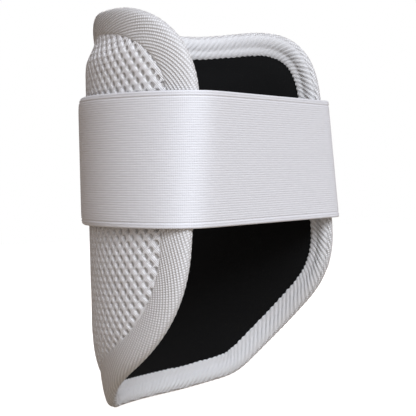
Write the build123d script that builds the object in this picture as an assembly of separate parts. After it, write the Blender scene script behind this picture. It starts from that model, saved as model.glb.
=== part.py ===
from build123d import *
import os
from math import acos, atan, atan2, cos, degrees, hypot, pi, radians, sin, sqrt, tan

os.makedirs("parts", exist_ok=True)

# Thigh guard: a padded C shell held round the leg by one wide elastic strap.
# Millimetres.  +Z runs up the leg, the protective face looks along -Y and the opening along +Y.
# "Near" is the wing on the +X side, "far" the wing on the -X side.  z = 0 is the strap's middle.

# ---- the shell's own surface: an upright cone ----
RIM_RADIUS = 86.2        # radius of the rim's middle surface at z = 0
TAPER = 0.041            # how much that radius grows for every mm downward
# ---- side outline, before rounding: (y, z) of each wing's corners ----
TOP_Z = 86.2             # top edge at the front
TIP_Z = -145.5           # tip at the front
TIP_SLOPE = 0.11         # rise of the lower edge away from the tip
FRONT_DEPTH = 10.0       # both wings share the front of the outline this far back
SHOULDER_DEPTH = 22.7    # each wing's shoulder lies this far behind the front
NEAR_RISE = 4.9          # shoulder above the front's top edge
FAR_RISE = -2.1
NEAR_TOP = (28.6, 83.6)  # upper back corner
NEAR_LOW = (7.9, -95.6)  # lower back corner
NEAR_VEE = (-59.7, -129.7)  # where the lower edge flattens toward the tip
FAR_TOP = (16.9, 86.7)
FAR_LOW = (18.5, -71.6)
FAR_VEE = (-54.1, -138.0)
NEAR_BEND_TOP = 65.0     # tangent lengths of the rounded corners
NEAR_BEND_LOW = 46.0
FAR_BEND_TOP = 49.0
FAR_BEND_LOW = 29.0
BEND_FRONT = 4.0
BEND_SHOULDER = 8.0
BEND_VEE = 9.0
# ---- layers, measured out from the rim's middle surface ----
RIM_HALF = 3.2           # half thickness of the bound rim
RIM_ROUND = 2.9          # the folded tape's outside radius
BINDING_WIDTH = 17.5     # tape showing on each face
BINDING_T = 1.2
COVER_OUT = 5.0          # face of the mesh
COVER_T = 2.4
LINING_IN = -7.2         # face of the lining, toward the leg
LINING_T = 0.8
PLATE_T = 1.1
PLATE_OUT = -1.1
PLATE_MARGIN = 3.5       # the plate stops this far inside the foam
FIT = 0.1                # layers lying on one another
FLANGE_MARGIN = 2.0      # cover and lining stop this far short of the fold
TAPE_FOLD = 1.3          # inside radius of the folded tape
SEAM_GAP = 0.4           # padded middle to the binding's edge
# ---- strap ----
STRAP_WIDTH = 75.0
STRAP_T = 1.8
STRAP_SLOPE = -0.066     # the strap sits higher at the front than at the back
STRAP_CLEAR = 0.5        # strap to the rim it bends round
STRAP_LEAD = 4.0         # straight strap between a bend and the joint line
JOINT_GAP = 0.3
RAMP = 20.0              # from the rim to where the strap lies on the padded middle
ROOT_ANGLE = -20.0       # sewn end, degrees round from the front
TAIL_ANGLE = 68.0        # free end on the far wing
BACKING_T = 2.05         # woven panel under the sewn end
BACKING_EASE = 0.15      # clearance left between the panel and the strap
BACKING_MARGIN = 3.0
BACKING_END = 52.0
LOOP_T = 1.8
LOOP_LENGTH_ANGLE = 46.0  # loop patch reaches forward to this angle
HOOK_T = 1.5
HOOK_LENGTH = 25.0
HOOK_GAP = 0.4           # fastened hook to loop
TAB_LENGTH = 11.0
TAB_T = 1.2
TAB_WIDTH = 38.0
HEM_LENGTH = 13.0
HEM_T = 1.6
# ---- stitches ----
THREAD_R = 0.35
STITCH = 2.4
STITCH_PITCH = 3.6
STITCH_INSET = 3.0

REACH = 150.0            # half length of the cutting prisms
FRONT_Y = -130.0         # clear of the shell's front


def rim_radius(z):
    return RIM_RADIUS - TAPER * z


# ---------------------------------------------------------------- shell
def side_corners(wing):
    """The near (1) or far (-1) wing's outline, clockwise from above the front."""
    top_y = FRONT_DEPTH - rim_radius(TOP_Z)
    tip_y = FRONT_DEPTH - rim_radius(TIP_Z)
    shoulder_y = SHOULDER_DEPTH - rim_radius(TOP_Z)
    near = ((shoulder_y, TOP_Z + NEAR_RISE), NEAR_TOP, NEAR_LOW, NEAR_VEE)
    far = ((shoulder_y, TOP_Z + FAR_RISE), FAR_TOP, FAR_LOW, FAR_VEE)
    return [
        (FRONT_Y, TOP_Z),
        (top_y, TOP_Z),
        *(near if wing > 0 else far),
        (tip_y, TIP_Z + TIP_SLOPE * FRONT_DEPTH),
        (FRONT_Y, TIP_Z + TIP_SLOPE * (FRONT_Y + rim_radius(TIP_Z))),
    ]


def moved_line(p, q, inset):
    dy, dz = q[0] - p[0], q[1] - p[1]
    size = hypot(dy, dz)
    ny, nz = dz / size, -dy / size
    return (p[0] + ny * inset, p[1] + nz * inset), (dy / size, dz / size)


def crossing(line_a, line_b):
    (ay, az), (uy, uz) = line_a
    (by, bz), (vy, vz) = line_b
    across = uy * vz - uz * vy
    if abs(across) < 1e-4:
        return (by, bz)
    t = ((by - ay) * vz - (bz - az) * vy) / across
    return (ay + t * uy, az + t * uz)


def side_face(wing, inset):
    """The wing's side outline moved inward by inset, as a face at x = 0."""
    pts = side_corners(wing)
    count = len(pts)
    insets = [inset] * (count - 1) + [0.0]
    lines = [moved_line(pts[i], pts[(i + 1) % count], insets[i]) for i in range(count)]
    corners = [crossing(lines[i - 1], lines[i]) for i in range(count)]
    back = (NEAR_BEND_TOP, NEAR_BEND_LOW) if wing > 0 else (FAR_BEND_TOP, FAR_BEND_LOW)
    bends = [0.0, BEND_FRONT, BEND_SHOULDER, *back, BEND_VEE, BEND_FRONT, 0.0]
    starts, ends = [], []
    for i, (y, z) in enumerate(corners):
        u, v = lines[i - 1][1], lines[i][1]
        turn = acos(max(-1.0, min(1.0, u[0] * v[0] + u[1] * v[1])))
        reach = max(bends[i] - inset * tan(turn / 2), 1.0) if bends[i] else 0.0
        starts.append((0, y - u[0] * reach, z - u[1] * reach))
        ends.append((0, y + v[0] * reach, z + v[1] * reach))
    edges = []
    for i, (y, z) in enumerate(corners):
        if bends[i]:
            edges.append(Bezier(starts[i], (0, y, z), ends[i]))
        edges.append(Line(ends[i], starts[(i + 1) % count]))
    return Face(Wire(edges))


def prism(inset):
    halves = [Solid.extrude(side_face(w, inset), Vector(w * REACH, 0, 0)) for w in (1, -1)]
    return halves[0] + halves[1]


def cone_shell(h0, h1):
    low, high = TIP_Z - 30.0, TOP_Z + 30.0
    profile = Polyline(
        (rim_radius(low) + h0, 0, low),
        (rim_radius(low) + h1, 0, low),
        (rim_radius(high) + h1, 0, high),
        (rim_radius(high) + h0, 0, high),
        close=True,
    )
    return revolve(make_face(profile), Axis.Z, 360)


def layer(h0, h1, inset):
    return cone_shell(h0, h1) & prism(inset)


def rounded(solid, heights, radius):
    """Round the solid's edges that run at these distances from the rim's middle surface."""
    picked = []
    for edge in solid.edges():
        point = edge.position_at(0.5)
        height = hypot(point.X, point.Y) - rim_radius(point.Z)
        if min(abs(height - wanted) for wanted in heights) < 0.05:
            picked.append(edge)
    return fillet(picked, radius)


# ---------------------------------------------------------------- strap
def around(radius, angle, z):
    """Point at an angle (radians) round from the front, positive toward the near wing."""
    return (radius * sin(angle), -radius * cos(angle), z)


def back_edge_y(side, z):
    top, low = side_corners(side)[3:5]
    return low[0] + (top[0] - low[0]) * (z - low[1]) / (top[1] - low[1])


def roll_centre(side, z):
    """Middle of the bound rim at the back edge, and its angle round from the front."""
    y = back_edge_y(side, z) - RIM_HALF
    radius = rim_radius(z)
    return (side * sqrt(radius**2 - y**2), y), acos(-y / radius)


def strap_slab(width):
    slab = Box(4 * REACH, 4 * REACH, width)
    return Rot(degrees(atan(STRAP_SLOPE)), 0, 0) * slab


def upright_loft(section):
    return Solid.make_loft([section(z) for z in (-60.0, 60.0)], True)


def sector(h0, h1, angle0, angle1):
    def section(z):
        r0, r1 = rim_radius(z) + h0, rim_radius(z) + h1
        mid = (angle0 + angle1) / 2
        edges = [
            ThreePointArc(around(r0, angle0, z), around(r0, mid, z), around(r0, angle1, z)),
            Line(around(r0, angle1, z), around(r1, angle1, z)),
            ThreePointArc(around(r1, angle1, z), around(r1, mid, z), around(r1, angle0, z)),
            Line(around(r1, angle0, z), around(r0, angle0, z)),
        ]
        return Wire(edges)
    return upright_loft(section)


def patch(h0, h1, angle0, angle1, width):
    return sector(h0, h1, angle0, angle1) & strap_slab(width)


def span_frame(z):
    """Start, direction and outward normal of the straight run across the opening."""
    (nx, ny), _ = roll_centre(1, z)
    (fx, fy), _ = roll_centre(-1, z)
    size = hypot(fx - nx, fy - ny)
    u = ((fx - nx) / size, (fy - ny) / size)
    return (nx, ny), (fx, fy), u, (u[1], -u[0])


def wing_path(side, lift, height, end_angle, z):
    """One face of the strap from its end on the wing, round the rim, to the joint line."""
    near, far, u, v = span_frame(z)
    centre = near if side > 0 else far
    angle_c = roll_centre(side, z)[1]
    radius = rim_radius(z)
    grip = RIM_HALF + STRAP_CLEAR + lift
    angle_r = angle_c - RAMP / radius
    flat = radius + height + lift
    ramp_mid = radius + (grip + height + lift) / 2 + 0.8
    on_rim = around(radius + grip, side * angle_c, z)
    first = atan2(on_rim[1] - centre[1], on_rim[0] - centre[0])
    last = atan2(v[1], v[0])
    if first < last - pi:
        first += 2 * pi
    half = (first + last) / 2
    mid_rim = (centre[0] + grip * cos(half), centre[1] + grip * sin(half), z)
    off_rim = (centre[0] + grip * v[0], centre[1] + grip * v[1], z)
    lead = side * STRAP_LEAD
    joint = (off_rim[0] + u[0] * lead, off_rim[1] + u[1] * lead, z)
    sewn = side * end_angle
    return [
        ThreePointArc(
            around(flat, sewn, z),
            around(flat, side * (end_angle + angle_r) / 2, z),
            around(flat, side * angle_r, z),
        ),
        ThreePointArc(
            around(flat, side * angle_r, z),
            around(ramp_mid, side * (angle_r + angle_c) / 2, z),
            on_rim,
        ),
        ThreePointArc(on_rim, mid_rim, off_rim),
        Line(off_rim, joint),
    ]


def wing_strap(side, height, end_angle):
    def section(z):
        inner = wing_path(side, 0.0, height, end_angle, z)
        outer = wing_path(side, STRAP_T, height, end_angle, z)
        ends = [
            Line(inner[-1] @ 1, outer[-1] @ 1),
            Line(inner[0] @ 0, outer[0] @ 0),
        ]
        return Wire(inner + outer + ends)
    return upright_loft(section) & strap_slab(STRAP_WIDTH)


def span_corners(z):
    near, far, u, v = span_frame(z)
    grip = RIM_HALF + STRAP_CLEAR
    lead = STRAP_LEAD + JOINT_GAP
    corners = []
    for lift, centre, step in (
        (grip, near, lead),
        (grip, far, -lead),
        (grip + STRAP_T, far, -lead),
        (grip + STRAP_T, near, lead),
    ):
        x = centre[0] + v[0] * lift + u[0] * step
        y = centre[1] + v[1] * lift + u[1] * step
        corners.append((x, y, z))
    return corners


def span_strap():
    def section(z):
        return Wire(Polyline(*span_corners(z), close=True).edges())
    return upright_loft(section) & strap_slab(STRAP_WIDTH)


# ---------------------------------------------------------------- stitches
def strap_z(angle, radius, level):
    """Height of a line level above the strap's middle, at an angle round the leg."""
    return level - STRAP_SLOPE * radius * cos(angle)


def stitch(height, angle, level, upright):
    radius = RIM_RADIUS + height
    z = strap_z(angle, radius, level)
    radius = rim_radius(z) + height + THREAD_R + 0.03
    point = around(radius, angle, z)
    along = Vector(-TAPER * sin(angle), TAPER * cos(angle), 1) if upright else Vector(
        cos(angle), sin(angle), STRAP_SLOPE * sin(angle)
    )
    return Plane(point, z_dir=along) * Cylinder(THREAD_R, STITCH)


def stitched_box(height, angle0, angle1, width):
    """Stitches round a rectangle on the strap's curve."""
    radius = RIM_RADIUS + height
    length = (angle1 - angle0) * radius
    rows = int((width - 4.0) / STITCH_PITCH)
    columns = int((length - 4.0) / STITCH_PITCH)
    made = []
    for i in range(rows + 1):
        level = (i - rows / 2) * STITCH_PITCH
        made += [stitch(height, angle0, level, True), stitch(height, angle1, level, True)]
    for i in range(columns + 1):
        angle = (angle0 + angle1) / 2 + (i - columns / 2) * STITCH_PITCH / radius
        made += [stitch(height, angle, s * width / 2, False) for s in (-1, 1)]
    return Compound(children=[Solid(s.solid().wrapped) for s in made])


# ---------------------------------------------------------------- the pieces
foam_inset = BINDING_WIDTH + SEAM_GAP + COVER_T + FIT
dome = BINDING_WIDTH + SEAM_GAP
flange_out = RIM_HALF - BINDING_T - FIT
pieces = {}

tape_in = RIM_HALF - BINDING_T
rim = rounded(layer(-RIM_HALF, RIM_HALF, 0.0), (-RIM_HALF, RIM_HALF), RIM_ROUND)
rim_space = layer(-tape_in, tape_in, BINDING_T)
rim_space = rounded(rim_space, (-tape_in, tape_in), TAPE_FOLD)
pieces["edge_binding"] = rim - rim_space - prism(BINDING_WIDTH)

flange_inset = BINDING_T + FLANGE_MARGIN
flange = layer(FIT, flange_out, flange_inset)
cover = layer(FIT, COVER_OUT, dome) + flange
pieces["mesh_cover"] = cover - layer(-1.0, COVER_OUT - COVER_T, dome + COVER_T)

flange = layer(-flange_out, -FIT, flange_inset)
lining = layer(LINING_IN, -FIT, dome) + flange
pieces["inner_lining"] = lining - layer(LINING_IN + LINING_T, 1.0, dome + LINING_T)

foam_top = COVER_OUT - COVER_T - FIT
pieces["outer_foam"] = layer(PLATE_OUT + FIT, foam_top, foam_inset)
pieces["stiffener_plate"] = layer(PLATE_OUT - PLATE_T, PLATE_OUT, foam_inset + PLATE_MARGIN)
foam_low = LINING_IN + LINING_T + FIT
pieces["inner_foam"] = layer(foam_low, PLATE_OUT - PLATE_T - FIT, foam_inset)

# strap: sewn end, woven backing, straight run, free end
backing_out = COVER_OUT + FIT + BACKING_T
near_height = backing_out + BACKING_EASE + FIT
root = radians(ROOT_ANGLE)
margin = BACKING_MARGIN / RIM_RADIUS
pieces["strap_backing"] = patch(
    COVER_OUT + FIT, backing_out, root - margin, radians(BACKING_END),
    STRAP_WIDTH - 2 * BACKING_MARGIN,
)
pieces["strap_near"] = wing_strap(1, near_height, root)
pieces["strap_span"] = span_strap()

loop_out = COVER_OUT + FIT + LOOP_T
hook_in = loop_out + HOOK_GAP
far_height = hook_in + HOOK_T + FIT
tail = radians(TAIL_ANGLE)
far_roll = roll_centre(-1, 0.0)[1]
loop_start = far_roll - (dome - RIM_HALF + 2.0) / RIM_RADIUS
pieces["loop_patch"] = patch(
    COVER_OUT + FIT, loop_out, -loop_start, -radians(LOOP_LENGTH_ANGLE), STRAP_WIDTH - 4.0
)
pieces["strap_far"] = wing_strap(-1, far_height, tail)
hook_end = tail + 1.0 / RIM_RADIUS
hook_start = hook_end + HOOK_LENGTH / RIM_RADIUS
pieces["hook_patch"] = patch(hook_in, hook_in + HOOK_T, -hook_start, -hook_end, STRAP_WIDTH - 4.0)

# folded hems lie on the strap's outer face; the tab is caught under the free end's hem
near_face = near_height + STRAP_T
far_face = far_height + STRAP_T
hem = HEM_LENGTH / (RIM_RADIUS + near_face)
pieces["root_hem"] = patch(near_face + 0.02, near_face + HEM_T, root, root + hem, STRAP_WIDTH)
pieces["tail_hem"] = patch(far_face + 0.02, far_face + HEM_T, -tail - hem, -tail, STRAP_WIDTH)
tab = TAB_LENGTH / (RIM_RADIUS + far_face)
pieces["finger_tab"] = patch(
    far_face - TAB_T, far_face, -tail + 0.1 / RIM_RADIUS, -tail + tab, TAB_WIDTH
)

inset = STITCH_INSET / RIM_RADIUS
narrow = STRAP_WIDTH - 2 * STITCH_INSET
pieces["root_stitches"] = stitched_box(
    near_face + HEM_T, root + inset, root + hem - inset / 2, narrow
)
pieces["tail_stitches"] = stitched_box(
    far_face + HEM_T, -tail - hem + inset / 2, -tail - inset, narrow
)
pieces["loop_stitches"] = stitched_box(
    loop_out, -radians(LOOP_LENGTH_ANGLE) - inset / 2 - (hook_end - radians(LOOP_LENGTH_ANGLE)) * 0.75,
    -radians(LOOP_LENGTH_ANGLE) - inset / 2, narrow - 4.0
)

for name, shape in pieces.items():
    solids = shape.solids()
    made = solids[0] if len(solids) == 1 else Compound(children=[Solid(s.wrapped) for s in solids])
    export_step(made, f"parts/{name}.step")
    box = made.bounding_box()
    print(f"{name:16s} solids {len(solids):3d}  volume {made.volume:10.1f}  "
          f"x {box.min.X:7.1f} {box.max.X:7.1f}  y {box.min.Y:7.1f} {box.max.Y:7.1f}  "
          f"z {box.min.Z:7.1f} {box.max.Z:7.1f}")
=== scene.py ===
# %% [markdown]
# Thigh guard: a padded C shell of spacer mesh over foam, bound all round with herringbone tape,
# lined in black, and held round the leg by one wide ribbed elastic.  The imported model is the
# frame; every piece below is cut to it, in millimetres inside the helpers and metres in Blender.

# %% start
import math
import bpy
import numpy as np
from mathutils import Matrix, Vector
from mathutils.bvhtree import BVHTree
from mathutils.geometry import delaunay_2d_cdt


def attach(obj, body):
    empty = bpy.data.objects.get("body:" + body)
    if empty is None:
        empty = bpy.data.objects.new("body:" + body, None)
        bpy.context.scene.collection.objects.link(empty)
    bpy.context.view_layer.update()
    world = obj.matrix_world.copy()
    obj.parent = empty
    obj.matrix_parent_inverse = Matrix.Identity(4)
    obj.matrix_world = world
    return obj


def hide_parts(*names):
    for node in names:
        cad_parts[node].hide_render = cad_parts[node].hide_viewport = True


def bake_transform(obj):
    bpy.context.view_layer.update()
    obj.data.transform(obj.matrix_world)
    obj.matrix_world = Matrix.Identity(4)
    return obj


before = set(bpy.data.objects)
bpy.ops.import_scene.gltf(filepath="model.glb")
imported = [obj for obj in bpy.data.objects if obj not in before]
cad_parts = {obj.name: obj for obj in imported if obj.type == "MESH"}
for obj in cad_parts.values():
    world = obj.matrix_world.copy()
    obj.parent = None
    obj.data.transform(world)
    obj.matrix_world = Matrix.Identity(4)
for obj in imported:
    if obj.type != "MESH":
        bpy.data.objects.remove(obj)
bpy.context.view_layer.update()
scene = bpy.context.scene
scene.view_settings.view_transform = "Standard"
MM = 0.001
rng = np.random.default_rng(7)

# %% [markdown]
# The shell follows an upright cone.  A place on it is (a, z, h): a is the way round from the
# front, z the height and h how far it stands off the rim's middle surface.  Working on the
# unrolled cone lets the tape, the mesh and the lining share one edge, as the cut panels do.

# %% the cone and its cut edge
RIM_R, TAPER = 86.2, 0.041
NEAR, FAR = 1, -1
TOP, TIP, TIP_SLOPE, FRONT_DEPTH, SHOULDER_DEPTH = 86.2, -145.5, 0.11, 10.0, 22.7
RISE = {NEAR: 4.9, FAR: -2.1}
# (y, z) of each wing's upper corner, lower corner and the bend before the tip
CORNERS = {NEAR: ((28.6, 83.6), (7.9, -95.6), (-59.7, -129.7)),
           FAR: ((16.9, 86.7), (18.5, -71.6), (-54.1, -138.0))}
BENDS = {NEAR: (4.0, 8.0, 65.0, 46.0, 9.0, 4.0), FAR: (4.0, 8.0, 49.0, 29.0, 9.0, 4.0)}
BEND_POINTS, SIDE_POINTS, EDGE_COUNT, EDGE_SMOOTHING = 30, 1500, 1480, 60
EDGE_STRIDE, BATCH = 3, 4000
# how far sewing draws the edge in, the height where that starts and the length it takes
TUCK_TOP, TUCK_TOP_FROM, TUCK_TOP_OVER = 4.2, 60, 14
TUCK_TIP, TUCK_TIP_FROM, TUCK_TIP_OVER = 6.5, -98, 52
# how much less of the tape shows over the front's top, and where
HIDDEN, HIDDEN_FROM, HIDDEN_OVER = 3.8, 48, 22
FRONT_END, FRONT_FADE = np.radians(100), np.radians(50)


def ease(t):
    t = np.clip(t, 0, 1)
    return t * t * (3 - 2 * t)


def at_front(phi):
    """1 over the front, fading to 0 along the wings."""
    return ease((FRONT_END - np.abs(phi)) / FRONT_FADE)


def rim_r(z):
    return RIM_R - TAPER * z


def on_cone(a, z, h):
    """Points in mm.  Sewing draws the edge in toward the leg, most at the front's top and tip."""
    r = rim_r(z)
    phi = a / r
    top = TUCK_TOP * ease((z - TUCK_TOP_FROM) / TUCK_TOP_OVER)
    tip = TUCK_TIP * ease((TUCK_TIP_FROM - z) / TUCK_TIP_OVER)
    h = h - (top + tip) * at_front(phi)
    return np.stack([(r + h) * np.sin(phi), -(r + h) * np.cos(phi), z + 0 * a], -1)


def rounded_side(wing):
    """One wing's side outline from the front's top to the tip, as (y, z) points."""
    top_y, tip_y = -rim_r(TOP), -rim_r(TIP)
    pts = [np.array(p, float) for p in (
        (top_y, TOP), (top_y + FRONT_DEPTH, TOP), (top_y + SHOULDER_DEPTH, TOP + RISE[wing]),
        *CORNERS[wing],
        (tip_y + FRONT_DEPTH, TIP + TIP_SLOPE * FRONT_DEPTH), (tip_y, TIP))]
    line = [pts[0]]
    for i, reach in enumerate(BENDS[wing], 1):
        u = (pts[i] - pts[i - 1]) / np.linalg.norm(pts[i] - pts[i - 1])
        v = (pts[i + 1] - pts[i]) / np.linalg.norm(pts[i + 1] - pts[i])
        t = np.linspace(0, 1, BEND_POINTS)[:, None]
        p, q = pts[i] - u * reach, pts[i] + v * reach
        line += list((1 - t) ** 2 * p + 2 * t * (1 - t) * pts[i] + t * t * q)
    return np.array(line + [pts[-1]])


def resampled(line, count, closed=False):
    """The same line with evenly spaced points."""
    if closed:
        line = np.vstack([line, line[:1]])
    way = np.concatenate([[0], np.cumsum(np.linalg.norm(np.diff(line, axis=0), axis=1))])
    at = np.linspace(0, way[-1], count, endpoint=not closed)
    return np.stack([np.interp(at, way, c) for c in line.T], -1), way[-1]


def smoothed(line, times, closed=True):
    for _ in range(times):
        mid = (np.roll(line, 1, 0) + 2 * line + np.roll(line, -1, 0)) / 4
        if not closed:
            mid[0], mid[-1] = line[0], line[-1]
        line = mid
    return line


def cut_edge(count):
    """The shell's edge on the unrolled cone, clockwise, and the way into the pad at each point."""
    halves = []
    for wing in (NEAR, FAR):
        side, _ = resampled(rounded_side(wing), SIDE_POINTS)
        y, z = side.T
        x = wing * np.sqrt(np.maximum(rim_r(z) ** 2 - y ** 2, 0))
        halves.append(np.stack([np.arctan2(x, -y) * rim_r(z), z], -1)[::wing])
    edge, length = resampled(np.vstack([halves[0], halves[1][1:-1]]), count, True)
    edge, length = resampled(smoothed(edge, EDGE_SMOOTHING), count, True)
    along = np.roll(edge, -1, 0) - np.roll(edge, 1, 0)
    along /= np.linalg.norm(along, axis=1)[:, None]
    return edge, np.stack([along[:, 1], -along[:, 0]], -1), length


edge, inward, edge_length = cut_edge(EDGE_COUNT)
print("cut edge", round(edge_length), "mm round;", "a", edge[:, 0].min().round(1), edge[:, 0].max().round(1))


def narrowing(points):
    """The tape shows less of its width where it rolls over the top of the front."""
    around = points[:, 0] / rim_r(points[:, 1])
    return HIDDEN * ease((points[:, 1] - HIDDEN_FROM) / HIDDEN_OVER) * at_front(around)


def edge_distance(points):
    """How far each (a, z) point lies inside the cut edge."""
    near, into = edge[::EDGE_STRIDE], inward[::EDGE_STRIDE]
    out = np.empty(len(points))
    for i in range(0, len(points), BATCH):
        part = points[i:i + BATCH, None, :] - near[None]
        k = (part ** 2).sum(2).argmin(1)
        way = part[np.arange(len(k)), k]
        out[i:i + BATCH] = (way * into[k]).sum(1)
    return out


def inset(points):
    """The same, counted so that the outer seam lies at one value all round."""
    return edge_distance(points) + narrowing(points)


# %% [markdown]
# Small helpers: make a mesh from arrays, with a UV map in millimetres so that each weave is
# drawn at its real pitch, and add shader nodes.

# %% mesh helpers
def new_object(name, verts, faces, uv=None, smooth=True):
    mesh = bpy.data.meshes.new(name)
    mesh.from_pydata((np.asarray(verts) * MM).tolist(), [], [list(map(int, f)) for f in faces])
    if uv is not None:
        layer = mesh.uv_layers.new(name="weave")
        index = np.empty(len(mesh.loops), int)
        mesh.loops.foreach_get("vertex_index", index)
        layer.data.foreach_set("uv", np.asarray(uv, float)[index].ravel())
    mesh.polygons.foreach_set("use_smooth", [smooth] * len(mesh.polygons))
    mesh.update()
    made = bpy.data.objects.new(name, mesh)
    scene.collection.objects.link(made)
    return made


def grid_faces(rows, columns, close_rows=False, close_columns=False):
    r = np.arange(rows if close_rows else rows - 1)
    c = np.arange(columns if close_columns else columns - 1)
    r, c = (x.ravel() for x in np.meshgrid(r, c, indexing="ij"))
    r1, c1 = (r + 1) % rows, (c + 1) % columns
    return np.stack([r * columns + c, r1 * columns + c, r1 * columns + c1, r * columns + c1], -1)


def finished(obj, material, body=None, nodes=()):
    obj.data.materials.clear()
    obj.data.materials.append(material)
    if nodes:
        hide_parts(*nodes)
    if body:
        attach(obj, body)
    triangles = sum(len(p.vertices) - 2 for p in obj.data.polygons)
    print(obj.name, len(obj.data.vertices), "vertices", triangles, "triangles")
    return obj


# %% shader helpers
def srgb(code):
    values = [int(code[i:i + 2], 16) / 255 for i in (0, 2, 4)]
    return [v / 12.92 if v <= 0.04045 else ((v + 0.055) / 1.055) ** 2.4 for v in values] + [1.0]


def put(tree, kind, inputs=None, **settings):
    """Adds one node; inputs holds values or sockets to link."""
    node = tree.nodes.new(kind)
    for key, value in settings.items():
        setattr(node, key, value)
    for key, value in (inputs or {}).items():
        if isinstance(value, bpy.types.NodeSocket):
            tree.links.new(value, node.inputs[key])
        else:
            node.inputs[key].default_value = value
    return node


def calc(tree, operation, *values):
    return put(tree, "ShaderNodeMath", dict(enumerate(values)), operation=operation).outputs[0]


def cloth(name, colour, rough, height=None, depth=0.2, shade=None, sheen=0.0):
    """A fabric.  height(tree, u, v) gives the weave's relief from 0 to 1; depth is in mm; a second colour, if
    given, is painted shade laid into the relief's low places.
    """
    material = bpy.data.materials.new(name)
    material.use_nodes = True
    tree = material.node_tree
    surface = tree.nodes["Principled BSDF"]
    surface.inputs["Base Color"].default_value = srgb(colour)
    surface.inputs["Roughness"].default_value = rough
    surface.inputs["Specular IOR Level"].default_value = 0.25
    surface.inputs["Sheen Weight"].default_value = sheen
    if height:
        uv = put(tree, "ShaderNodeUVMap", uv_map="weave").outputs[0]
        parts = put(tree, "ShaderNodeSeparateXYZ", {0: uv}).outputs
        relief = height(tree, parts[0], parts[1])
        bump = put(tree, "ShaderNodeBump", {"Height": relief, "Distance": depth * MM, "Strength": 1.0})
        tree.links.new(bump.outputs[0], surface.inputs["Normal"])
        # painted shade: where the relief is low the surface takes the darker second colour instead of its own
        if shade:
            colour_with_painted_shade = put(tree, "ShaderNodeMix", {0: relief, 6: srgb(shade), 7: srgb(colour)},
                        data_type="RGBA")
            tree.links.new(colour_with_painted_shade.outputs[2], surface.inputs["Base Color"])
    return material


def wave(tree, value, pitch, phase=0.0):
    """0 to 1 to 0 over each pitch."""
    turn = calc(tree, "MULTIPLY", value, 2 * math.pi / pitch)
    return calc(tree, "MULTIPLY_ADD", calc(tree, "COSINE", calc(tree, "ADD", turn, phase)), 0.5, 0.5)


# %% [markdown]
# Fabrics.  The tape's ribs and the elastic's cords are modelled; only their yarns, one or two
# millimetres apart, are relief in the shader.  On the tape, the mesh and the elastic the relief's
# low places are also darkened with a painted shade colour.

# %% fabrics
RIB = edge_length / round(edge_length / 4.0)  # a whole number of ribs, about 4 mm apart
INNER_FROM = 24.0  # where the tape's inner face starts across it
BEAD_LEAN, ROW_PITCH, BEAD_PITCH, YARN_PITCH = -0.36, 1.9, 1.65, 0.95
KNIT_COS, KNIT_SIN, KNIT_PITCH, LOOP_PITCH = 0.765, 0.643, 0.85, 1.3
STRAP_WIDTH, CORDS, PICK_PITCH = 75.0, 57, 1.05
PLAIN_PITCH = 1.2


def bead_relief(tree, u, v):
    """The twill's floats: rows of beads nearly along the tape outside, fine yarns on the inner face."""
    rows = wave(tree, calc(tree, "MULTIPLY_ADD", u, BEAD_LEAN, v), ROW_PITCH)
    beads = wave(tree, calc(tree, "MULTIPLY_ADD", v, 0.5, u), BEAD_PITCH)
    both = calc(tree, "MULTIPLY", rows, calc(tree, "MULTIPLY_ADD", beads, 0.85, 0.15))
    outer = calc(tree, "POWER", both, 0.6)
    yarn = wave(tree, calc(tree, "SUBTRACT", u, v), YARN_PITCH)
    fine = calc(tree, "MULTIPLY_ADD", yarn, 0.3, 0.55)
    inside = calc(tree, "GREATER_THAN", v, INNER_FROM)
    return put(tree, "ShaderNodeMix", {0: inside, 2: outer, 3: fine}, data_type="FLOAT").outputs[0]


def knit_relief(tree, u, v):
    """Looped yarns lying along the rows of holes."""
    along = calc(tree, "MULTIPLY_ADD", u, KNIT_COS, calc(tree, "MULTIPLY", v, KNIT_SIN))
    across = calc(tree, "MULTIPLY_ADD", u, KNIT_SIN, calc(tree, "MULTIPLY", v, -KNIT_COS))
    lines, loops = wave(tree, along, KNIT_PITCH), wave(tree, across, LOOP_PITCH)
    return calc(tree, "MULTIPLY_ADD", loops, 0.35, calc(tree, "MULTIPLY", lines, 0.65))


def elastic_relief(tree, u, v):
    """Picks across the cords, broken into short streaks along them."""
    picks = wave(tree, u, PICK_PITCH)
    cords = wave(tree, v, STRAP_WIDTH / CORDS)
    place = put(tree, "ShaderNodeCombineXYZ", {
        0: calc(tree, "MULTIPLY", u, 0.16), 1: calc(tree, "MULTIPLY", v, 0.9)})
    noise = put(tree, "ShaderNodeTexNoise", {"Vector": place.outputs[0], "Scale": 1.0, "Detail": 3.0})
    streak = noise.outputs[0]
    woven = calc(tree, "MULTIPLY_ADD", picks, 0.25, calc(tree, "MULTIPLY", cords, 0.2))
    return calc(tree, "MULTIPLY_ADD", streak, 0.9, woven)


def plain_relief(tree, u, v):
    return calc(tree, "MAXIMUM", wave(tree, u, PLAIN_PITCH), wave(tree, v, PLAIN_PITCH, math.pi))


# tape, mesh and elastic: the second colour in each row is painted shade for the low places of the weave
tape_white = cloth("polyester herringbone tape", "fdfcfb", 0.35, bead_relief, 0.5, "d2d0ce", 0.1)
mesh_white = cloth("polyester spacer mesh", "fcfbfb", 0.35, knit_relief, 0.3, "dcdad8", 0.1)
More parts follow.
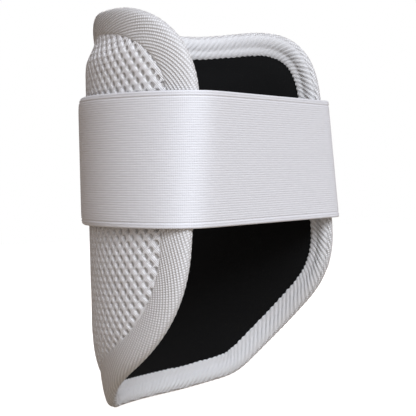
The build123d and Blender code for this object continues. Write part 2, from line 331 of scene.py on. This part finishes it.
# the ground's grey is partly the knit's own tone and partly painted shade standing for the dark inside the
# holes
ground_grey_and_hole_shade = cloth("spacer mesh ground knit", "c6c3c0", 0.8, knit_relief, 0.15)
elastic_white = cloth("woven rubber elastic", "efeff1", 0.65, elastic_relief, 0.15, "e0e0e3", 0.1)
backing_white = cloth("woven polyester backing", "e2e2e2", 0.6, plain_relief, 0.1)
lining_black = cloth("brushed polyester lining", "0b0b0b", 0.95, plain_relief, 0.05)
loop_white = cloth("napped nylon loop tape", "e4e4e4", 0.9, plain_relief, 0.2, sheen=0.3)
hook_white = cloth("moulded nylon hook tape", "dcdcdc", 0.4)
thread_white = cloth("polyester sewing thread", "f2f2f2", 0.45)

# %% [markdown]
# Padding.  The cover panel is laid flat on the cone, held along its sewn edge and blown up
# from inside like foam pressing against it; the rise is then capped, because firm foam stops
# the cover growing past its own thickness.

# %% padded face
SEAM, FACE_SEAM, FACE_RISE = 17.5, 2.3, 3.9  # the seam's inset and height; the face's rise
PUFF_STEP, FRAMES, FIRMNESS = 5.0, 20, 1.6
ROW_STEP, RING_GAP = 0.866, 0.6  # in steps: between rows, and between the ring and the rest
SHOULDER_LEAD, SHOULDER_OVER = 1.2, 5.0
BLOWN_SHARE, EVEN_SHARE = 0.45, 0.55


def panel(start, step, narrow=1):
    """Even points inside the edge by start and more, joined into triangles."""
    border = edge + inward * (start - narrow * narrowing(edge))[:, None]
    ring, _ = resampled(border, int(edge_length / step), True)
    low, high = ring.min(0), ring.max(0)
    a, z = np.meshgrid(np.arange(low[0], high[0], step), np.arange(low[1], high[1], step * ROW_STEP))
    a = a + (np.arange(a.shape[0]) % 2)[:, None] * step / 2
    inner = np.stack([a.ravel(), z.ravel()], -1)
    inner = inner[edge_distance(inner) + narrow * narrowing(inner) > start + step * RING_GAP]
    points = np.vstack([ring, inner])
    loop = [(i, (i + 1) % len(ring)) for i in range(len(ring))]
    found = delaunay_2d_cdt([Vector(p) for p in points], loop, [], 1, 1e-5)
    return np.array([tuple(v) for v in found[0]]), found[2]


def outward(faces, points):
    """Faces turned so that they look away from the leg."""
    turned = []
    for f in faces:
        p, q, r = (points[k] for k in f[:3])
        area = (q[0] - p[0]) * (r[1] - p[1]) - (q[1] - p[1]) * (r[0] - p[0])
        turned.append(list(f) if area > 0 else list(f)[::-1])
    return turned


flat, faces = panel(SEAM - 2.0, PUFF_STEP)
faces = outward(faces, flat)
puff = new_object("pad_puff", on_cone(flat[:, 0], flat[:, 1], FACE_SEAM + 0 * flat[:, 0]), faces)
held = puff.vertex_groups.new(name="sewn")
held.add([i for i, d in enumerate(inset(flat)) if d < SEAM + 0.5], 1.0, "REPLACE")
soft = puff.modifiers.new("foam pressure", "CLOTH")
soft.settings.quality = 6
soft.settings.mass = 0.3
soft.settings.tension_stiffness = 12
soft.settings.compression_stiffness = 12
soft.settings.shear_stiffness = 4
soft.settings.bending_stiffness = 0.6
soft.settings.use_pressure = True
soft.settings.uniform_pressure_force = 4.0
soft.settings.vertex_group_mass = "sewn"
soft.settings.effector_weights.gravity = 0.0
soft.point_cache.frame_start, soft.point_cache.frame_end = 1, FRAMES
for number in range(1, FRAMES + 1):
    scene.frame_set(number)
blown = puff.evaluated_get(bpy.context.evaluated_depsgraph_get())
where = np.array([v.co[:] for v in blown.data.vertices]) / MM
rise = np.hypot(where[:, 0], where[:, 1]) - rim_r(where[:, 2]) - FACE_SEAM
scene.frame_set(1)
print("foam pushed the cover out by up to", rise.max().round(2), "mm")
rise = np.maximum(rise, 0)
typical = max(np.percentile(rise, 60), 0.1)
puff_height = FACE_SEAM + FACE_RISE * np.tanh(FIRMNESS * rise / typical)
bpy.data.objects.remove(puff)
tree_flat = BVHTree.FromPolygons([Vector((p[0], p[1], 0)) for p in flat], faces)


def lookup(points):
    """Height of the blown cover, read off its triangles."""
    out = np.empty(len(points))
    for i, (a, z) in enumerate(points):
        spot, _, index, _ = tree_flat.find_nearest(Vector((a, z, 0)))
        corner = faces[index]
        p, q, r = (flat[k] for k in corner)
        det = (q[1] - r[1]) * (p[0] - r[0]) + (r[0] - q[0]) * (p[1] - r[1])
        u = ((q[1] - r[1]) * (spot.x - r[0]) + (r[0] - q[0]) * (spot.y - r[1])) / det
        v = ((r[1] - p[1]) * (spot.x - r[0]) + (p[0] - r[0]) * (spot.y - r[1])) / det
        at_p, at_q, at_r = (puff_height[k] for k in corner)
        out[i] = u * at_p + v * at_q + (1 - u - v) * at_r
    return out


def smooth_height(points):
    """The padded face's height at any (a, z): the shoulder by the seam, then the foam's rise."""
    shoulder = 1 - np.exp(-np.maximum(inset(points) - SEAM + SHOULDER_LEAD, 0) / SHOULDER_OVER)
    foam = (lookup(points) - FACE_SEAM) * BLOWN_SHARE * np.minimum(shoulder * 1.5, 1)
    return FACE_SEAM + foam + FACE_RISE * EVEN_SHARE * shoulder


# %% [markdown]
# The spacer mesh is a knit with an open face: leaning oval holes in offset rows, the yarn bars
# between them standing over a closed ground.  The ground is a plain skin; the open face is
# built cell by cell, each hole with a rounded bar edge and a wall going down to the ground.

# %% ground of the mesh
# the ground seen through the holes is greyed partly by its own tone and partly by painted shade
GROUND_STEP, GROUND_DEPTH = 3.0, 1.7
points, tris = panel(SEAM - 1.5, GROUND_STEP)
height = smooth_height(points) - GROUND_DEPTH
ground = new_object("mesh_ground", on_cone(points[:, 0], points[:, 1], height), outward(tris, points), points)
finished(ground, ground_grey_and_hole_shade, "guard", ("outer_foam", "stiffener_plate", "inner_foam"))

# %% open face of the mesh
PITCH_A, PITCH_Z = 6.3, 3.75
HOLE_A, HOLE_Z, LEAN = 1.35, 1.95, math.radians(30)
UNDER_TAPE, JITTER = 2.6, 0.06
low, high = edge.min(0), edge.max(0)
rows = np.arange(math.floor(low[1] / PITCH_Z), math.ceil(high[1] / PITCH_Z) + 1)
columns = np.arange(math.floor(low[0] / PITCH_A), math.ceil(high[0] / PITCH_A) + 1)
centres = np.array([((c + 0.5 * (r % 2)) * PITCH_A, r * PITCH_Z) for r in rows for c in columns])
centres = centres[inset(centres) > SEAM - UNDER_TAPE]
# corners of one cell: the hexagon shared by a hole and its six neighbours
half = PITCH_A / 2
short = PITCH_Z - (PITCH_Z ** 2 + half ** 2) / (2 * PITCH_Z)
corner = np.array([(half, short), (0, PITCH_Z - short), (-half, short), (-half, -short),
                   (0, -PITCH_Z + short), (half, -short)])
outer = np.vstack([np.stack([corner[i], (corner[i] + corner[(i + 1) % 6]) / 2]) for i in range(6)])
turn = np.arctan2(outer[:, 1], outer[:, 0])
across, up = HOLE_A * np.cos(turn - LEAN), HOLE_Z * np.sin(turn - LEAN)
cos_lean, sin_lean = math.cos(LEAN), math.sin(LEAN)
hole = np.stack([across * cos_lean - up * sin_lean, across * sin_lean + up * cos_lean], -1)
# each ring of a cell, from its border into the hole, and its height over the padded face
rings = [(outer, 0.0), (outer * 0.35 + hole * 0.65 * 1.12, 0.05), (hole, -0.35), (hole * 0.98, -1.8)]
count = len(outer)
cells = len(centres)
flat_points = np.concatenate([centres[:, None, :] + ring[None] for ring, _ in rings], 1)
flat_points[:, count:] += rng.normal(0, JITTER, (cells, 1, 2))
drop = np.concatenate([np.full(count, d) for _, d in rings])
level = smooth_height(flat_points.reshape(-1, 2)).reshape(cells, -1) + drop
xyz = on_cone(flat_points[..., 0], flat_points[..., 1], level).reshape(-1, 3)
local = []
for k in range(len(rings) - 1):
    for i in range(count):
        j = (i + 1) % count
        local.append([k * count + i, k * count + j, (k + 1) * count + j, (k + 1) * count + i])
local = np.array(local)
every = (local[None] + (np.arange(cells) * count * len(rings))[:, None, None]).reshape(-1, 4)
net = new_object("mesh_face", xyz, every, flat_points.reshape(-1, 2))
print("mesh face", cells, "holes")
finished(net, mesh_white, "guard", ("mesh_cover",))

# %% [markdown]
# Lining: one brushed skin, sewn under the tape and pushed toward the leg by the soft foam.

# %% lining
LINING_EDGE, LINING_STEP = 13.0, 3.2
LINING_SEAT, LINING_BULGE, BULGE_FROM, BULGE_OVER = -2.3, 4.3, 14.5, 7.0
points, tris = panel(LINING_EDGE, LINING_STEP, narrow=0)
bulge = 1 - np.exp(-np.maximum(edge_distance(points) - BULGE_FROM, 0) / BULGE_OVER)
wander = 0.25 * np.sin(points[:, 0] / 23.0 + 0.7) * np.sin(points[:, 1] / 31.0)
height = LINING_SEAT - (LINING_BULGE + wander) * bulge
lining = new_object("lining", on_cone(points[:, 0], points[:, 1], height),
                    [f[::-1] for f in outward(tris, points)], points)
finished(lining, lining_black, "guard", ("inner_lining",))

# %% [markdown]
# Binding: a herringbone tape folded over the whole edge.  Its ribs slant one way on the outer
# face and the other way on the inner, and it rolls over a soft core at the rim.

# %% binding tape
CORE_R, SECTION_POINTS, SECTION_SMOOTHING, ACROSS = 3.3, 400, 60, 60
OUTER_RIB, INNER_RIB, SCALLOP = 0.10, 0.72, 0.8
# (way in from the edge, height): the outer face, the roll over the core, the inner face
profile = [(18.0, 2.0), (17.3, 2.9), (15.5, 3.35), (12, 3.6), (8, 3.75), (5, 3.6)]
profile += [(CORE_R - CORE_R * math.sin(t), CORE_R * math.cos(t))
            for t in np.linspace(0.15, math.pi - 0.15, 13)]
profile += [(3.6, -3.9), (5.8, -4.2), (8.0, -3.9), (10.0, -3.0),
            (11.6, -3.2), (13.4, -3.3), (15.0, -2.8), (15.7, -2.0)]
section, _ = resampled(np.array(profile), SECTION_POINTS)
section = smoothed(section, SECTION_SMOOTHING, False)
section, tape_width = resampled(section, ACROSS)
way = np.linspace(0, tape_width, ACROSS)
fold = way[np.argmin(section[:, 0])]
along = np.arange(EDGE_COUNT) * edge_length / EDGE_COUNT
u, w = np.meshgrid(along, way, indexing="ij")
tangent = np.gradient(section, axis=0)
tangent /= np.linalg.norm(tangent, axis=1)[:, None]
normal = np.stack([tangent[:, 1], -tangent[:, 0]], -1)
slant = -np.hypot(w - fold, 0.8)
rib = 0.5 + 0.5 * np.cos(2 * math.pi * (u + slant) / RIB)
ends = np.clip(np.minimum(way, tape_width - way) / 2.0, 0, 1)
ends = ends * np.clip(np.abs(way - fold - 0.5) / 3.5, 0.25, 1)
strength = np.where(way < fold, OUTER_RIB, INNER_RIB)
strength = strength * (1 - 0.4 * np.clip((way - fold - 12.0) / 2.5, 0, 1))
scallop = rib * np.clip((w - tape_width + 3) / 3, 0, 1)
lift = (rib ** 0.8 - 0.6) * (strength * ends)[None]
d = section[None, :, 0] + normal[None, :, 0] * lift + SCALLOP * (scallop - 0.5) * (w > fold)
h = section[None, :, 1] + normal[None, :, 1] * lift
d = d - narrowing(edge)[:, None] * np.clip(d / SEAM, 0, 1) * (w < fold)
place = edge[:, None, :] + inward[:, None, :] * d[..., None]
tape = new_object("binding", on_cone(place[..., 0], place[..., 1], h).reshape(-1, 3),
                  grid_faces(EDGE_COUNT, ACROSS, True)[:, ::-1],
                  np.stack([u, w], -1).reshape(-1, 2))
finished(tape, tape_white, "guard", ("edge_binding",))

# %% [markdown]
# Elastic: woven with cords running along it.  One length is followed from its sewn end at the
# front, over the near wing, round the bound edge and straight across the opening; the other
# from mid span round the far edge to the hooked end.  They meet edge to edge in mid span.

# %% strap path
STRAP_HALF, STRAP_SLOPE, STRAP_T = STRAP_WIDTH / 2, -0.066, 1.8
LOW, HIGH = -60.0, 60.0  # the two heights the strap's path is worked out at
ROLL_BACK, GRIP, RAMP, HUMP = 3.2, 7.4, 20.0, 0.8
WING_STEPS, RAMP_STEPS, TURN_STEPS, SPAN_STEPS = 160, 14, 12, 80
LINE_POINTS, LINE_SMOOTHING, STRAP_ROWS, BACK_POINTS = 900, 1800, 190, 26
BACK_LIFT, SLANT_WIDTH = 0.15, 1.002


def back_edge(wing, z):
    top, low = CORNERS[wing][:2]
    return low[0] + (top[0] - low[0]) * (z - low[1]) / (top[1] - low[1])


def roll(wing, z):
    y = back_edge(wing, z) - ROLL_BACK
    return np.array([wing * math.sqrt(rim_r(z) ** 2 - y ** 2), y]), math.acos(-y / rim_r(z))


def strap_line(wing, end_angle, height, z, lift):
    """The elastic's path at one height: along the wing, down to the rim, round it, mid span."""
    centre, angle = roll(wing, z)
    other, _ = roll(-wing, z)
    u = (other - centre) / np.linalg.norm(other - centre)
    v = np.array([u[1], -u[0]]) * wing
    r, grip = rim_r(z), GRIP + lift
    settle = angle - RAMP / r
    phi = np.linspace(end_angle, settle, WING_STEPS)
    line = [((r + height + lift) * wing * math.sin(p), -(r + height + lift) * math.cos(p)) for p in phi]
    for t in np.linspace(0, 1, RAMP_STEPS)[1:-1]:
        p = settle + (angle - settle) * t
        s = ease(t)
        reach = r + (height + lift) * (1 - s) + grip * s + HUMP * math.sin(math.pi * t)
        line.append((reach * wing * math.sin(p), -reach * math.cos(p)))
    first = math.atan2(-math.cos(angle), wing * math.sin(angle))
    last = math.atan2(v[1], v[0])
    if abs(first - last) > math.pi:
        first += 2 * math.pi
    for t in np.linspace(0, 1, TURN_STEPS):
        b = first + (last - first) * t
        line.append(tuple(centre + grip * np.array([math.cos(b), math.sin(b)])))
    half = np.linalg.norm(other - centre) / 2
    for t in np.linspace(0, 1, SPAN_STEPS)[1:]:
        line.append(tuple(centre + v * grip + u * half * t))
    return np.array(line)


def strap(name, wing, end_angle, height, curl):
    """A length of the elastic as one closed tube of fabric: ribbed outside, plain inside."""
    across = np.linspace(-STRAP_HALF, STRAP_HALF, CORDS * 5 + 1)
    cord = 0.5 + 0.5 * np.cos(2 * math.pi * (across + STRAP_HALF) * CORDS / (2 * STRAP_HALF))
    from_edge = STRAP_HALF - np.abs(across)
    relief = 0.09 * cord * np.clip((from_edge - 2.6) / 0.6, 0, 1)
    # the selvedge: two raised cords, then the rounded edge and the groove inside them
    relief += 0.22 * np.exp(-((from_edge - 2.2) / 0.35) ** 2) + 0.18 * np.exp(-((from_edge - 0.9) / 0.5) ** 2)
    relief -= 0.35 * np.exp(-(from_edge / 0.35) ** 2) + 0.25 * np.exp(-((from_edge - 3.2) / 0.35) ** 2)
    back = np.linspace(STRAP_HALF, -STRAP_HALF, BACK_POINTS)
    w = np.concatenate([across, back[1:-1]])
    out = np.concatenate([STRAP_T - 0.1 + relief, np.full(BACK_POINTS - 2, BACK_LIFT)])
    lines = {}
    for z in (LOW, HIGH):
        for lift in (0.0, STRAP_T):
            line, length = resampled(strap_line(wing, end_angle, height, z, lift), LINE_POINTS)
            line = smoothed(line, LINE_SMOOTHING, False)
            lines[z, lift] = resampled(line, STRAP_ROWS)[0]
    f = (out / STRAP_T)[None, :, None]
    low = lines[LOW, 0.0][:, None] * (1 - f) + lines[LOW, STRAP_T][:, None] * f
    high = lines[HIGH, 0.0][:, None] * (1 - f) + lines[HIGH, STRAP_T][:, None] * f
    k = (high[..., 1] - low[..., 1]) / (HIGH - LOW)
    z = (w[None] * SLANT_WIDTH + STRAP_SLOPE * (low[..., 1] - k * LOW)) / (1 - STRAP_SLOPE * k)
    xy = low + (high - low) * ((z - LOW) / (HIGH - LOW))[..., None]
    angle = np.arctan2(np.abs(xy[..., 0]), -xy[..., 1])
    on_wing = np.clip((math.radians(80) - angle) / math.radians(30), 0, 1)
    near_edge = STRAP_HALF - np.abs(w)[None]
    dip = curl * np.exp(-near_edge / 2.2) * np.where(w[None] > 0, 1.0, 0.4) * on_wing
    xy = xy * (1 - dip / np.hypot(xy[..., 0], xy[..., 1]))[..., None]
    verts = np.concatenate([xy, z[..., None]], -1)
    uv = np.stack(np.meshgrid(np.linspace(0, length, STRAP_ROWS), w, indexing="ij"), -1)
    faces = grid_faces(STRAP_ROWS, len(w), False, True)
    if wing == NEAR:
        faces = faces[:, ::-1]
    return new_object(name, verts.reshape(-1, 3), faces, uv.reshape(-1, 2))


near_strap = strap("strap_near_length", NEAR, math.radians(-20), height=8.3, curl=2.4)
finished(near_strap, elastic_white, None, ("strap_near", "strap_span"))
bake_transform(near_strap)
far_strap = strap("strap_far_length", FAR, math.radians(68), height=8.9, curl=0.8)
finished(far_strap, elastic_white, None, ("strap_far",))
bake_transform(far_strap)

# %% [markdown]
# Patches: flat pieces of tape laid on the cone with a rolled edge.

# %% patches
PATCH_STEP, PATCH_ROUND = 1.5, 0.5


def beside_strap(phi, w, h):
    """Points at an angle and a place across the strap, h off the rim's middle surface."""
    z = w - STRAP_SLOPE * RIM_R * np.cos(phi)
    reach = rim_r(z) + h
    return np.stack([reach * np.sin(phi), -reach * np.cos(phi), z], -1)


def patch(name, inner, thick, angle0, angle1, width, material, slot, body, node):
    """A tape patch between two angles (degrees from the front, + to the near wing)."""
    r = RIM_R + inner
    a0, a1 = sorted((math.radians(angle0), math.radians(angle1)))
    n_a = max(int((a1 - a0) * r / PATCH_STEP), 6)
    n_w = max(int(width / PATCH_STEP), 6)
    phi, w = np.meshgrid(np.linspace(a0, a1, n_a), np.linspace(-width / 2, width / 2, n_w), indexing="ij")
    gap = np.minimum(np.minimum(phi - a0, a1 - phi) * r, width / 2 - np.abs(w))
    top = thick - PATCH_ROUND * np.clip(1 - gap / 1.0, 0, 1) ** 2
    sheets = [beside_strap(phi, w, h).reshape(-1, 3) for h in (inner + top, inner + 0.02)]
    face = grid_faces(n_a, n_w)
    count = n_a * n_w
    around = list(range(n_w)) + [i * n_w + n_w - 1 for i in range(1, n_a)]
    around += [(n_a - 1) * n_w + j for j in range(n_w - 2, -1, -1)] + [i * n_w for i in range(n_a - 2, 0, -1)]
    wall = [[i, j, j + count, i + count] for i, j in zip(around, around[1:] + around[:1])]
    uv = np.stack([phi * r, w], -1).reshape(-1, 2)
    made = new_object(name, np.vstack(sheets), np.vstack([face, face[:, ::-1] + count, wall]),
                      np.vstack([uv, uv]))
    finished(made, material, body, (node,))


for row in (
    # name, height, thickness, from and to in degrees, width, material, slot, body, node
    ("strap_backing_panel", 5.1, 2.3, -22, 52, 69, backing_white, "woven_backing", "guard", "strap_backing"),
    ("loop_tape", 5.1, 1.8, -90.0, -46, 71, loop_white, "loop", "guard", "loop_patch"),
    ("hook_tape", 7.3, 1.5, -86.0, -68.7, 71, hook_white, "hook", "tail", "hook_patch"),
    ("root_fold", 9.3, 1.6, -20, -12.4, 75, elastic_white, "elastic", "guard", "root_hem"),
    ("tail_fold", 10.5, 1.6, -75.6, -68, 75, elastic_white, "elastic", "tail", "tail_hem"),
    ("pull_tab", 9.4, 1.2, -68, -61.2, 38, tape_white, "twill_tape", "tail", "finger_tab"),
):
    patch(*row)

# %% [markdown]
# Stitching: one small node tree lays a short thread at every pitch along a line.

# %% stitches
def stitch_tree():
    tree = bpy.data.node_groups.new("lockstitch row", "GeometryNodeTree")
    tree.interface.new_socket("Geometry", in_out="INPUT", socket_type="NodeSocketGeometry")
    for name, value in (("Pitch", 0.0036), ("Thread radius", 0.00035), ("Stitch length", 0.0024)):
        socket = tree.interface.new_socket(name, in_out="INPUT", socket_type="NodeSocketFloat")
        socket.default_value = value
    tree.interface.new_socket("Thread", in_out="INPUT", socket_type="NodeSocketMaterial")
    tree.interface.new_socket("Geometry", in_out="OUTPUT", socket_type="NodeSocketGeometry")
    given = put(tree, "NodeGroupInput").outputs
    curve = put(tree, "GeometryNodeMeshToCurve", {0: given[0]}).outputs[0]
    spaced = put(tree, "GeometryNodeResampleCurve", {"Curve": curve, "Length": given[1]}, mode="LENGTH")
    stitch = put(tree, "GeometryNodeMeshCylinder", {"Vertices": 6, "Radius": given[2], "Depth": given[3]})
    tangent = put(tree, "GeometryNodeInputTangent").outputs[0]
    turned = put(tree, "FunctionNodeAlignRotationToVector", {"Vector": tangent}, axis="Z")
    laid = put(tree, "GeometryNodeInstanceOnPoints", {
        "Points": spaced.outputs[0], "Instance": stitch.outputs[0], "Rotation": turned.outputs[0]})
    real = put(tree, "GeometryNodeRealizeInstances", {0: laid.outputs[0]})
    painted = put(tree, "GeometryNodeSetMaterial", {"Geometry": real.outputs[0], "Material": given[4]})
    result = put(tree, "NodeGroupOutput")
    tree.links.new(painted.outputs[0], result.inputs[0])
    return tree


stitch_nodes = stitch_tree()


def stitched(name, line, body, node):
    """Threads along a closed line of xyz points in mm."""
    count = len(line)
    mesh = bpy.data.meshes.new(name + "_line")
    mesh.from_pydata((line * MM).tolist(), [(i, (i + 1) % count) for i in range(count)], [])
    guide = bpy.data.objects.new(name + "_line", mesh)
    scene.collection.objects.link(guide)
    rows = guide.modifiers.new("stitches", "NODES")
    rows.node_group = stitch_nodes
    for item in stitch_nodes.interface.items_tree:
        if item.item_type == "SOCKET" and item.in_out == "INPUT" and item.name != "Geometry":
            rows[item.identifier] = thread_white if item.name == "Thread" else item.default_value
    depsgraph = bpy.context.evaluated_depsgraph_get()
    plain = bpy.data.meshes.new_from_object(guide.evaluated_get(depsgraph))
    made = bpy.data.objects.new(name, plain)
    scene.collection.objects.link(made)
    bpy.data.objects.remove(guide)
    finished(made, thread_white, body, (node,))


def patch_box(height, angle0, angle1, width):
    """A rectangle of stitches on a patch."""
    a = np.radians(np.linspace(angle0, angle1, 12))
    w = np.linspace(-width / 2, width / 2, 30)
    path = [(p, -width / 2) for p in a] + [(a[-1], q) for q in w[1:-1]]
    path += [(p, width / 2) for p in a[::-1]] + [(a[0], q) for q in w[::-1][1:-1]]
    return beside_strap(*np.array(path).T, height)


for name, box, body, node in (
    # box: height, from and to in degrees, width
    ("root_stitching", (11.1, -18, -13.4, 69), "guard", "root_stitches"),
    ("tail_stitching", (12.3, -74.6, -70, 69), "tail", "tail_stitches"),
    ("loop_stitching", (7.1, -63.5, -47.5, 65), "guard", "loop_stitches"),
):
    stitched(name, patch_box(*box), body, node)

# %% [markdown]
# Studio: white surround, a broad light from the opening's side, and a weak one from the other
# side, so that the front falls into a warm grey.

# %% studio
FLOOR_HALF, FLOOR_Z, FLOOR_GLOW = 6, -0.1545, 0.75
SKY_TOWARD, SKY_GAIN, SKY_BASE = (0.58, 0.76, 0.28), (0.58, 0.70, 0.86), (0.29, 0.225, 0.175)
floor_mesh = bpy.data.meshes.new("floor")
floor_mesh.from_pydata([(x * FLOOR_HALF, y * FLOOR_HALF, FLOOR_Z)
                        for x, y in ((-1, -1), (1, -1), (1, 1), (-1, 1))], [], [(0, 1, 2, 3)])
floor = bpy.data.objects.new("floor", floor_mesh)
scene.collection.objects.link(floor)
floor_white = bpy.data.materials.new("white paper floor")
floor_white.use_nodes = True
paper = floor_white.node_tree
paper.nodes.clear()
card = put(paper, "ShaderNodeBsdfDiffuse", {0: srgb("b0a494")})
clean = put(paper, "ShaderNodeAddShader", {
    0: put(paper, "ShaderNodeBsdfDiffuse", {0: srgb("fcfcfc")}).outputs[0],
    1: put(paper, "ShaderNodeEmission", {0: srgb("ffffff"), 1: FLOOR_GLOW}).outputs[0]})
looked = put(paper, "ShaderNodeLightPath").outputs["Is Camera Ray"]
shown = put(paper, "ShaderNodeMixShader", {0: looked, 1: card.outputs[0], 2: clean.outputs[0]})
put(paper, "ShaderNodeOutputMaterial", {0: shown.outputs[0]})
floor.data.materials.append(floor_white)

world = bpy.data.worlds.new("studio")
scene.world = world
world.use_nodes = True
tree = world.node_tree
tree.nodes.clear()
facing = put(tree, "ShaderNodeTexCoord").outputs["Generated"]
toward = put(tree, "ShaderNodeVectorMath", {0: facing, 1: SKY_TOWARD}, operation="DOT_PRODUCT")
glow = put(tree, "ShaderNodeVectorMath", {0: SKY_GAIN, 1: toward.outputs["Value"], 2: SKY_BASE},
           operation="MULTIPLY_ADD")
glow = put(tree, "ShaderNodeVectorMath", {0: glow.outputs[0], 1: (0.0, 0.0, 0.0)}, operation="MAXIMUM")
lit = put(tree, "ShaderNodeBackground", {0: glow.outputs[0], 1: 1.0})
plain = put(tree, "ShaderNodeBackground", {0: (1, 1, 1, 1), 1: 1.0})
seen = put(tree, "ShaderNodeLightPath").outputs["Is Camera Ray"]
both = put(tree, "ShaderNodeMixShader", {0: seen, 1: lit.outputs[0], 2: plain.outputs[0]})
put(tree, "ShaderNodeOutputWorld", {0: both.outputs[0]})


def softbox(name, place, size, power, colour):
    light = bpy.data.lights.new(name, "AREA")
    light.shape = "DISK"
    light.size = size
    light.energy = power
    light.color = srgb(colour)[:3]
    made = bpy.data.objects.new(name, light)
    made.location = place
    made.rotation_euler = (-Vector(place)).to_track_quat("-Z", "Y").to_euler()
    scene.collection.objects.link(made)


softbox("key", (1.05, 1.3, 0.9), 0.9, 22.0, "f0f5ff")
softbox("fill", (-1.5, -0.9, 0.45), 0.8, 7.0, "fff6ec")

# %% [markdown]
# Camera: a long lens, level, looking across the opening at the near wing.

# %% camera
LENS, SENSOR = 36 * 1400 / 416, 36
TARGET, ASIDE, DROP, DISTANCE = Vector((0, -0.020, 0)), -0.0034, Vector((0, 0, -0.028)), 0.8518
AZIMUTH, ELEVATION, ROLL = (math.radians(x) for x in (119.67, -0.13, -3.90))
back = Vector((math.sin(AZIMUTH) * math.cos(ELEVATION), -math.cos(AZIMUTH) * math.cos(ELEVATION),
               math.sin(ELEVATION)))
right = (-back).cross(Vector((0, 0, 1))).normalized()
up = right.cross(-back)
right, up = right * math.cos(ROLL) + up * math.sin(ROLL), up * math.cos(ROLL) - right * math.sin(ROLL)
camera = bpy.data.objects.new("camera", bpy.data.cameras.new("camera"))
spot = TARGET + right * ASIDE + DROP + back * DISTANCE
camera.matrix_world = Matrix((
    (right.x, up.x, back.x, spot.x), (right.y, up.y, back.y, spot.y),
    (right.z, up.z, back.z, spot.z), (0, 0, 0, 1)))
camera.data.lens = LENS
camera.data.sensor_width = SENSOR
scene.collection.objects.link(camera)
scene.camera = camera
